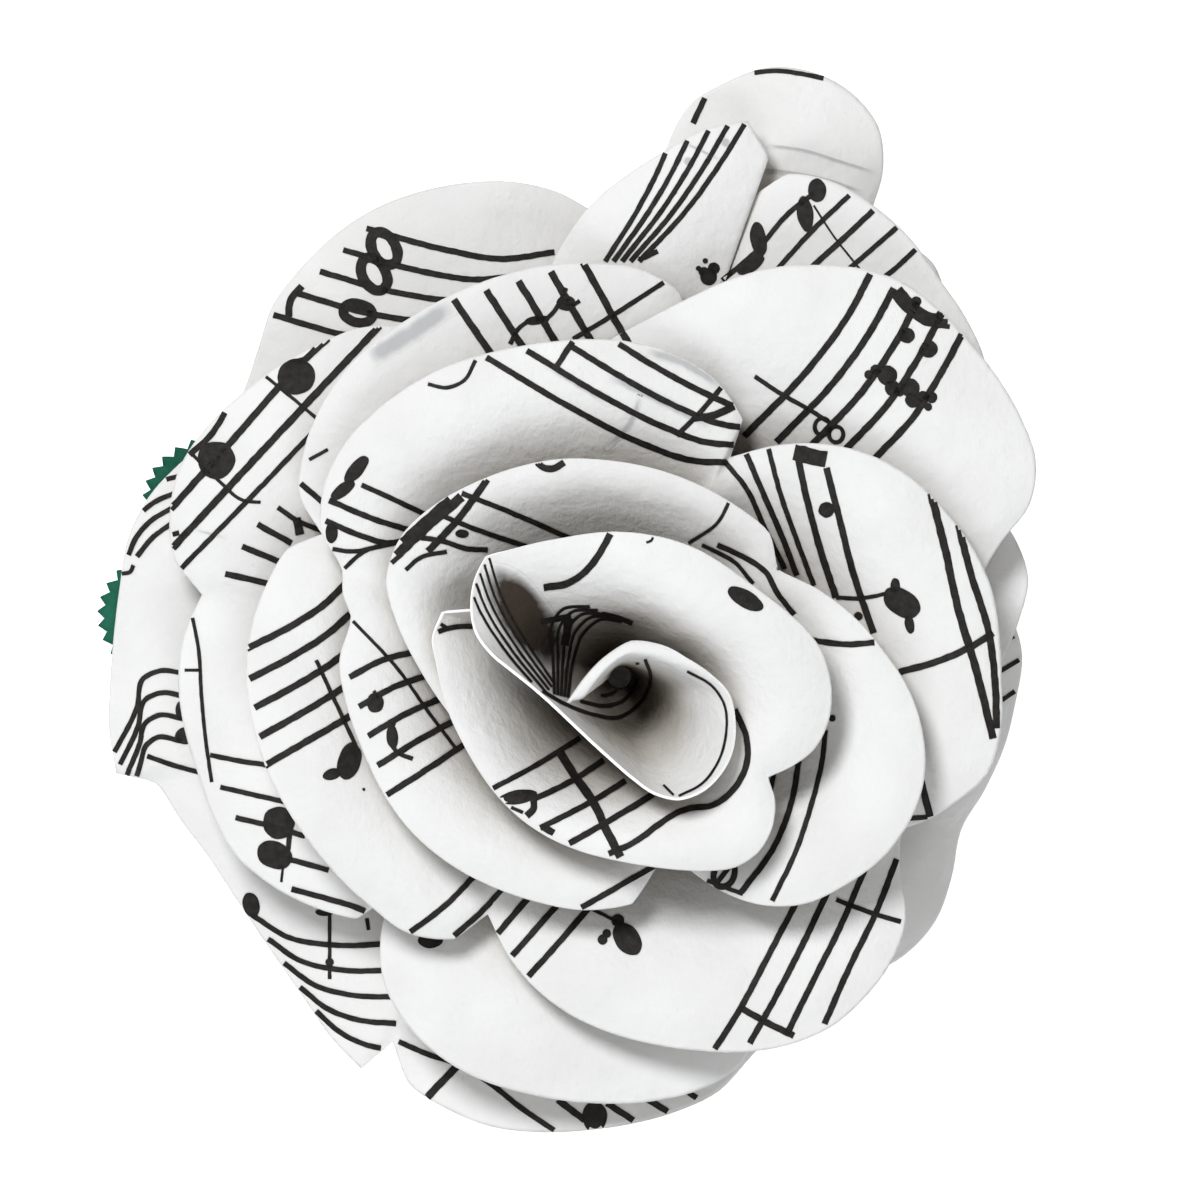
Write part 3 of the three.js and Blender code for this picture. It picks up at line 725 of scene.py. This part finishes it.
def sheet_5_print():
    return (
        # Upper lobes: a staff that narrows towards the hollow, and notes on a stem beside it.
        staff([(4.2, 29.9), (3.3, 27.8), (2.2, 25.7), (0.3, 22.7)],
              [(8.7, 31.1), (7.1, 28.5), (5, 25.6), (2.3, 22.7)],
              width=0.3)
        + line((2.3, 22.8), (3.4, 23.3), width=0.3)
        + line((4.5, 29.9), (6, 29.2), (7.2, 28.6), width=0.2, shade=SHOW_THROUGH)
        + dot(5.2, 28.6, 0.3, shade=SHOW_THROUGH)
        + dot(7.4, 29.7, 0.3, shade=SHOW_THROUGH)
        + line((7.2, 21.6), (9, 23.1), (11.3, 25.7), (12.6, 26.7), width=0.3)
        + dots((6.4, 21.8, 0.5), (6.7, 22.3, 0.36), (5.8, 22.3, 0.16), (6.2, 22.75, 0.16), (6.1, 22.1, 0.3))
        + dot(8.9, 22.5, 0.9, 0.42, turn=32)
        + dot(9.35, 24, 0.48, 1.05, turn=8)
        + dot(12.1, 25.5, 0.48, 1.05, turn=8)
        + dot(12.8, 26.9, 0.55, 0.7)
        + line((14.7, 26.6), (12.5, 24.5), (10.5, 22.3))
        + line((16.1, 25.7), (14.3, 24), (12.4, 22.3), width=0.34)
        + line((17.5, 24.7), (16, 23.4), (14.5, 22.1))
        + line((18.6, 23.4), (17.3, 22.2), (16.4, 21.5))
        + line((12.6, 26), (13.7, 24.3), (15.6, 21.9), width=0.12)
        # Lower lobe: one note at the edge of the petal above it.
        + dot(-10, -17.3, 0.72, 0.5)
        # Lower left lobe: a bar line along the rim, staff lines and two notes.
        + line((-24.1, 2), (-23.7, 0), (-23.5, -3), (-23.2, -6), (-22.9, -8), width=0.22)
        + line((-24.5, -1.4), (-23.6, -1.4), width=0.18)
        + line((-23, -6.4), (-21, -6.8), (-19.5, -7))
        + line((-22.4, -8.3), (-20, -8.85), (-18.5, -9.2))
        + line((-21.5, -10.1), (-19.8, -10.5), (-17.4, -11.2), width=0.32)
        + line((-19.2, -12.4), (-18.2, -12.6), (-16, -13.2), width=0.32)
        + line((-18.2, -14.3), (-16, -14.9), (-14.1, -15.5), (-13, -16.1), width=0.34)
        + dots((-18.95, -10.4, 0.94))
        + dot(-19.2, -12.3, 1.08, 0.8, turn=-25)
        + line((-18.3, -11), (-18.4, -12))
        + line((-18.7, -13), (-18.8, -13.9), width=0.15)
        + line((-20.2, 7.2), (-18.2, 6.1), width=0.36)
        + line((-21.1, 5.9), (-18.9, 5), width=0.36)
        + line((-22.1, 4.3), (-19.5, 3.7), width=0.36)
        + line((-19, 8.2), (-17.8, 7.4), (-16.3, 6.8), width=0.3)
        + line((-17.9, 7.6), (-17.7, 6.6), width=0.5)
        # Upper left lobe: three staff lines and two beamed notes.
        + line((-16, 18.2), (-17.5, 16.8), (-21.8, 12), (-25.3, 8.1), width=0.4)
        + line((-13, 18.9), (-17.5, 14.1), (-21.5, 9.8), (-25.2, 5.8), width=0.42)
        + line((-16.3, 13.3), (-20, 9.4), (-24.9, 4.4), width=0.3)
        + dot(-17.9, 15.9, 1.12, 1.05)
        + line((-19.8, 15.9), (-18.8, 16.5), (-17.4, 16.9), width=0.36)
        + line((-19.7, 15.9), (-17.6, 14.2), (-16.3, 13.1), width=0.2)
        + dot(-22.6, 11, 1.1, 1.12)
        + line((-24.2, 11.3), (-23, 12.4), (-21.8, 14.3), width=0.36)
        + line((-24.1, 11.4), (-22.4, 9.7), (-21, 8.6), (-20, 8.5), width=0.2)
        + line((-25.2, 6.6), (-24.8, 6.7))
        + line((-24, 6.9), (-22, 6.4), width=0.2, shade=SHOW_THROUGH)
    )


def sheet_6_print():
    return (
        # Top lobe: a slur on its rim, and the other side's staff showing through.
        line((8.8, 33.85), (10.5, 34), (12, 33.8), (14.4, 33.3), width=0.28)
        + line((6.2, 32.4), (5.5, 30.9), width=0.34)
        + line((9.7, 29.6), (12, 29.3), (14.3, 28.6), (16.3, 28), width=0.24, shade=SHOW_THROUGH)
        + line((9.2, 28.2), (11, 28), (13.5, 27.5), (15.6, 26.8), width=0.3, shade=SHOW_THROUGH)
        # Right lobe: the ends of four staff lines.
        + line((23.1, 1.7), (23.8, 1.75), width=0.26)
        + line((23.2, -0.1), (24.5, 0.6), width=0.26)
        + line((23.3, -1.7), (24.8, -0.8), width=0.26)
        + line((23.3, -3.5), (24.8, -2.5), width=0.26)
        # Bottom lobe: slanting staff lines, a bar line and a note.
        + line((-11.9, -23.4), (-10, -24.2), (-8.4, -24.7), (-6.7, -25.7), (-4.5, -27.4), (-2.7, -28.6),
               width=0.32)
        + line((-8.4, -24.8), (-9.3, -25.7), (-10.3, -26.8), width=0.44)
        + line((-2.5, -26.8), (-0.9, -28), width=0.4)
        + dot(-0.3, -27.8, 0.72, 0.95)
        + line((0.4, -27), (2.1, -28.1), width=0.38)
        + line((2.7, -26.7), (4, -27.5), width=0.38)
        + line((5, -26.2), (5.7, -26.7), width=0.34)
        # Lower left lobe: a staff with a bar line and a note.
        + staff([(-20.6, -15.9), (-18.5, -17.2), (-15.5, -17.7), (-12.3, -17.6)],
                [(-16.8, -21.6), (-15.3, -22.9), (-13.8, -23.6), (-12, -23.9)], width=0.32)
        + dot(-20.65, -15.3, 0.5, 0.75, turn=15)
        + line((-16, -15.8), (-16, -19.7), width=0.22)
        + dot(-16.3, -15.75, 0.55, 0.22)
        + dots((-16, -18.7, 0.26))
        + line((-13.8, -16.1), (-13.7, -16.8), width=0.22)
        + line((-26.8, -6.5), (-25, -7.1), (-23.5, -7.5), width=0.28)
        # Left lobe: two staves that bend over its rolled rim.
        + line((-24.8, 10.1), (-25.8, 9.8), (-26.6, 9.3))
        + line((-25.1, 9.1), (-26.4, 8.5), (-27.5, 7.6))
        + line((-25.3, 8.2), (-26.6, 7.4), (-27.4, 6.5), (-27.9, 5.4))
        + line((-25.3, 7.3), (-26.5, 6.4), (-27.4, 5.3))
        + line((-28.3, 4.3), (-27.8, 4.4), (-27.6, 4.8), width=0.24)
        + staff([(-24.6, -1.6), (-26, -1.45), (-27, -1.9), (-27.4, -3.6), (-28.8, -6.4)],
                [(-24.8, -5.6), (-26.2, -5.4), (-26.8, -5.8), (-27.2, -7), (-27.6, -8.2)],
                count=4, width=0.3)
        + dot(-24.7, -3.8, 0.42, 0.62)
        + dot(-24.6, -5.3, 0.55, 0.5)
        # The middle, under the bud's open foot: a large black dot, painted shade that keeps the bud's open
        # centre dark.
        + dot(1.1, -1.6, 2.2)
        # Upper left lobe: a staff, its bar line, and three open notes.
        + staff([(-13.8, 24.7), (-9, 23.4), (-6, 22.9), (-2.7, 23.3)],
                [(-19.3, 19.6), (-15, 18.4), (-11.5, 18), (-8, 18.4)])
        + line((-17.6, 21.3), (-18.3, 20.4), (-18.4, 19.5), width=0.42)
        + ring(-12.75, 23.5, 1.05, 0.68, turn=-60, width=0.62)
        + ring(-13.35, 22, 1.05, 0.68, turn=-60, width=0.62)
        + ring(-14.3, 19.7, 0.88, 0.56, turn=-12, width=0.58)
    )


PRINTS = {
    "bud_sheet": bud_print,
    "petal_sheet_2": sheet_2_print,
    "petal_sheet_3": sheet_3_print,
    "petal_sheet_4": sheet_4_print,
    "petal_sheet_5": sheet_5_print,
    "petal_sheet_6": sheet_6_print,
}


def underside_print(draw, reach):
    """Staves right across the flat sheet, each with stemmed notes at uneven distances."""
    marks = []
    lean = draw.uniform(0, 180)
    across = Vector((math.cos(math.radians(lean)), math.sin(math.radians(lean))))
    up = Vector((-across.y, across.x))
    spacing = STAVES_APART * STAFF_PITCH
    for system in range(-math.ceil(reach / spacing), math.ceil(reach / spacing) + 1):
        base = up * (system * spacing)
        for k in range(STAFF_LINES):
            start = base + up * (k * STAFF_PITCH)
            marks += line(start - across * reach, start + across * reach)
        along = -reach
        while along < reach:
            along += draw.uniform(*NOTES_APART)
            note = base + across * along + up * (draw.choice(NOTE_HEIGHTS) * STAFF_PITCH)
            stem = note + across * STEM_SIDE
            marks += dot(note.x, note.y, *NOTE_RADII, turn=lean + NOTE_TURN)
            marks += line(stem, stem + up * (STEM_PITCHES * STAFF_PITCH), width=STEM_WIDTH)
    return marks


# --- Materials ---
class Shader:
    """A material under construction, with short ways to add its nodes."""

    def __init__(self, name):
        self.material = bpy.data.materials.new(name)
        self.material.use_nodes = True
        self.tree = self.material.node_tree
        self.tree.nodes.clear()
        self.place = self.tree.nodes.new("ShaderNodeTexCoord").outputs["Object"]

    def node(self, kind, settings=(), **inputs):
        """A node with some settings, and inputs by name: a socket is linked, and anything else is set."""
        made = self.tree.nodes.new(kind)
        for key, value in dict(settings).items():
            setattr(made, key, value)
        for key, value in inputs.items():
            socket = made.inputs[key.replace("_", " ")]
            if isinstance(value, bpy.types.NodeSocket):
                self.tree.links.new(value, socket)
            else:
                socket.default_value = value
        return made

    def noise(self, size, detail=2.0, stretch=(1, 1, 1)):
        """Noise whose features are about size millimetres across."""
        scaled = self.node("ShaderNodeMapping", Vector=self.place, Scale=stretch).outputs["Vector"]
        found = self.node("ShaderNodeTexNoise", Vector=scaled, Scale=1 / (size * MM), Detail=detail)
        return found.outputs["Fac"]

    def ramp(self, value, *stops):
        """Colours by value: stops are (position, colour)."""
        made = self.node("ShaderNodeValToRGB", Fac=value)
        elements = made.color_ramp.elements
        while len(elements) < len(stops):
            elements.new(0.5)
        for element, (position, colour) in zip(elements, stops):
            element.position = position
            element.color = (*colour, 1)
        return made.outputs["Color"]

    def product(self, first, second):
        """One colour or value times another."""
        made = self.node("ShaderNodeVectorMath", {"operation": "MULTIPLY"})
        self.tree.links.new(first, made.inputs[0])
        self.tree.links.new(second, made.inputs[1])
        return made.outputs["Vector"]

    def bump(self, height, depth, strength=1.0, under=None):
        """Bump of that depth in millimetres, over the bump under it."""
        inputs = {"Height": height, "Distance": depth * MM, "Strength": strength}
        if under is not None:
            inputs["Normal"] = under
        return self.node("ShaderNodeBump", **inputs).outputs["Normal"]

    def finish(self, shader):
        self.node("ShaderNodeOutputMaterial", Surface=shader.outputs[0])
        return self.material


PAPER_LIGHT = (0.79, 0.797, 0.8)
PAPER_DARK = (0.735, 0.74, 0.74)
PAPER_GLOW = (0.95, 0.8, 0.6)
SHOW_THROUGH_TINT = (0.62, 0.63, 0.65)
# Painted shade: the dark brown of the patch in the bud's hollow.
PAINTED_SHADE_TINT = (0.05, 0.036, 0.026)
PAPER_TRANSLUCENCY = 0.1
GREEN_LIGHT = (0.012, 0.16, 0.1)
GREEN_DARK = (0.006, 0.085, 0.05)
GREEN_GLOW = (0.02, 0.3, 0.18)
GREEN_TRANSLUCENCY = 0.12

DEEP = 8.0                  # how near other paper has to be, in millimetres, for the painted shade that darkens the folds
PAINTED_FOLD_SHADE = (              # painted shade: from paper that is closed in to paper in the open
    (0.0, (0.14, 0.11, 0.085)),
    (0.2, (0.5, 0.46, 0.41)),
    (0.45, (0.93, 0.915, 0.885)),
    (0.7, (1, 1, 1)),
)


def paper_material(name, light, dark, glow, translucency, mark=None):
    """Uncoated paper: faint mottling, felted fibres and their tooth, and a little light through it.
    Painted shade darkens and browns it where other paper is near, in the folds. mark is the tint of a patch
    (show-through print in one material, painted shade in another), which is strongest where COVER is 1."""
    shader = Shader(name)
    mottle = shader.noise(4.5, detail=4)
    colour = shader.ramp(mottle, (0.3, dark), (0.7, light))
    fibres = shader.noise(0.16, detail=3, stretch=(1, 0.35, 1))
    tooth = shader.noise(0.5, detail=5)
    soft = shader.noise(1.6, detail=2)
    # Painted shade: the colour darkens and browns where other paper is near.
    openness = shader.node("ShaderNodeAmbientOcclusion", {"samples": 8}, Distance=DEEP * MM).outputs["AO"]
    fold_shade_tint = shader.ramp(openness, *PAINTED_FOLD_SHADE)
    colour = shader.product(colour, fold_shade_tint)
    if mark:
        cover = shader.node("ShaderNodeAttribute", {"attribute_name": COVER}).outputs["Fac"]
        patchy = shader.ramp(shader.noise(0.9, detail=4), (0.3, (0.75,) * 3), (0.6, (1,) * 3))
        strength = shader.product(cover, patchy)
        colour = shader.product(colour, shader.ramp(strength, (0.0, (1, 1, 1)), (0.7, mark)))
    normal = shader.bump(soft, 0.16, 0.8)
    normal = shader.bump(tooth, 0.07, 0.9, under=normal)
    normal = shader.bump(fibres, 0.03, 0.8, under=normal)
    roughness = shader.node("ShaderNodeMapRange", Value=tooth, To_Min=0.74, To_Max=0.92).outputs["Result"]
    surface = shader.node(
        "ShaderNodeBsdfPrincipled", Base_Color=colour, Roughness=roughness, Normal=normal,
        Specular_IOR_Level=0.3
    )
    through = shader.node("ShaderNodeBsdfTranslucent", Color=(*glow, 1), Normal=normal)
    mixed = shader.node("ShaderNodeMixShader", Fac=translucency)
    shader.tree.links.new(surface.outputs[0], mixed.inputs[1])
    shader.tree.links.new(through.outputs[0], mixed.inputs[2])
    return shader.finish(mixed)


def cut_edge_material():
    """The cut edge of the paper, where its bright broken fibres show."""
    shader = Shader("cut_edge")
    fibres = shader.noise(0.12, detail=3)
    colour = shader.ramp(fibres, (0.3, (0.9, 0.895, 0.88)), (0.7, (0.98, 0.98, 0.975)))
    normal = shader.bump(fibres, 0.02, 0.6)
    surface = shader.node("ShaderNodeBsdfPrincipled", Base_Color=colour, Roughness=0.9, Normal=normal)
    return shader.finish(surface)


def ink_material():
    """Printer's ink that soaked into the fibres unevenly."""
    shader = Shader("ink")
    soaked = shader.noise(0.4, detail=4)
    colour = shader.ramp(soaked, (0.35, (0.005, 0.0045, 0.004)), (0.75, (0.02, 0.018, 0.016)))
    normal = shader.bump(shader.noise(0.3, detail=4), 0.02, 0.6)
    surface = shader.node(
        "ShaderNodeBsdfPrincipled", Base_Color=colour, Roughness=0.7, Normal=normal, Specular_IOR_Level=0.25
    )
    return shader.finish(surface)


def floor_material():
    """A pale table top, lit a little from below as a light table is, so that shadows on it stay faint."""
    shader = Shader("floor")
    colour = shader.ramp(shader.noise(30, detail=2), (0.3, (0.9, 0.9, 0.9)), (0.7, (0.93, 0.93, 0.93)))
    surface = shader.node(
        "ShaderNodeBsdfPrincipled", Base_Color=colour, Roughness=0.9,
        Emission_Color=(1, 1, 1, 1), Emission_Strength=0.75
    )
    return shader.finish(surface)


# --- Pieces ---
def paper_sheet(node, materials):
    """The paper that stands for a node, with its grid, the directions off it, and whether it is closed."""
    points, closed = grid_of(node)
    grid = smoothed(points, closed)
    grid = rippled(grid, normals_of(grid, closed))
    normals = normals_of(grid, closed)
    piece = paper_piece(f"{node}_paper", grid, normals, closed, materials)
    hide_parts(node)
    return piece, grid, normals, closed


def printed_sheet(node, marks, draw, paper, inks_and_shade):
    """A sheet of music paper and the print on both its sides."""
    piece, grid, normals, closed = paper_sheet(node, paper)
    ink = Ink()
    over = from_above(grid, normals, closed)
    under = on_underside(grid, normals)
    for mark in marks:
        mark(ink, over)
    reach = np.linalg.norm(grid, axis=2).max() * FLAT_REACH
    for mark in underside_print(draw, reach):
        mark(ink, under)
    smooth = [True] * len(ink.faces)
    print_piece = new_object(f"{node}_print", ink.points, ink.faces, inks_and_shade, ink.shades, smooth)
    cover = print_piece.data.attributes.new(COVER, "FLOAT", "POINT")
    cover.data.foreach_set("value", ink.covers)


def make_flower():
    """The printed sheets from the bud outwards, and the two leaves."""
    draw = random.Random(SEED)
    paper = [
        paper_material("music_paper", PAPER_LIGHT, PAPER_DARK, PAPER_GLOW, PAPER_TRANSLUCENCY),
        cut_edge_material(),
    ]
    inks_and_shade = [
        ink_material(),
        paper_material(
            "ink_showing_through", PAPER_LIGHT, PAPER_DARK, PAPER_GLOW, PAPER_TRANSLUCENCY,
            mark=SHOW_THROUGH_TINT,
        ),
        # Painted shade for the deep hollow inside the bud's roll.
        paper_material("painted_shade_in_the_hollow", PAPER_LIGHT, PAPER_DARK, PAPER_GLOW, 0.0, PAINTED_SHADE_TINT),
    ]
    green = paper_material("green_paper", GREEN_LIGHT, GREEN_DARK, GREEN_GLOW, GREEN_TRANSLUCENCY)
    for node, marks in PRINTS.items():
        printed_sheet(node, marks(), draw, paper, inks_and_shade)
    for node in ("leaf_upper", "leaf_lower"):
        leaf = paper_sheet(node, [green, green])[0]


# --- Floor, light and camera ---
LOW, HIGH = (Vector(corner) for corner in CAD_BOX)
MIDDLE = (LOW + HIGH) / 2
HEIGHT_SHARE = 0.891        # the flower takes up this much of the picture's height
CAMERA_DISTANCE = 1.5
FLOOR_SIZE = 4.0


def make_floor():
    bpy.ops.mesh.primitive_plane_add(size=FLOOR_SIZE, location=(0, 0, LOW.z))
    floor = bpy.context.object
    floor.name = "floor"
    floor.data.materials.append(floor_material())


def make_area_light(name, direction, distance, size, power, colour):
    """A soft light that looks at the flower from a direction."""
    light = bpy.data.lights.new(name, "AREA")
    light.shape = "DISK"
    light.size = size
    light.energy = power
    light.color = colour
    lamp = bpy.data.objects.new(name, light)
    lamp.location = MIDDLE + Vector(direction).normalized() * distance
    lamp.rotation_euler = Vector(direction).to_track_quat("Z", "Y").to_euler()
    bpy.context.scene.collection.objects.link(lamp)


def make_lights():
    make_area_light("key", (-0.25, 0.4, 1), 0.7, 0.2, 4.4, (1, 1, 1))
    make_area_light("fill", (0.1, -0.9, 1), 0.9, 0.6, 3.3, (0.97, 0.985, 1))
    world = bpy.data.worlds.new("studio")
    world.use_nodes = True
    background = world.node_tree.nodes["Background"]
    background.inputs["Color"].default_value = (1, 0.985, 0.96, 1)
    background.inputs["Strength"].default_value = 0.22
    bpy.context.scene.world = world


def make_camera():
    """Straight above the flower, far off, with the flower's origin midway across the picture."""
    camera = bpy.data.cameras.new("camera")
    camera.lens = camera.sensor_width * CAMERA_DISTANCE * HEIGHT_SHARE / (HIGH.y - LOW.y)
    holder = bpy.data.objects.new("camera", camera)
    holder.location = (0, MIDDLE.y, MIDDLE.z + CAMERA_DISTANCE)
    bpy.context.scene.collection.objects.link(holder)
    bpy.context.scene.camera = holder


make_camera()
make_lights()
make_floor()
make_flower()
bpy.context.scene.view_settings.view_transform = "Standard"
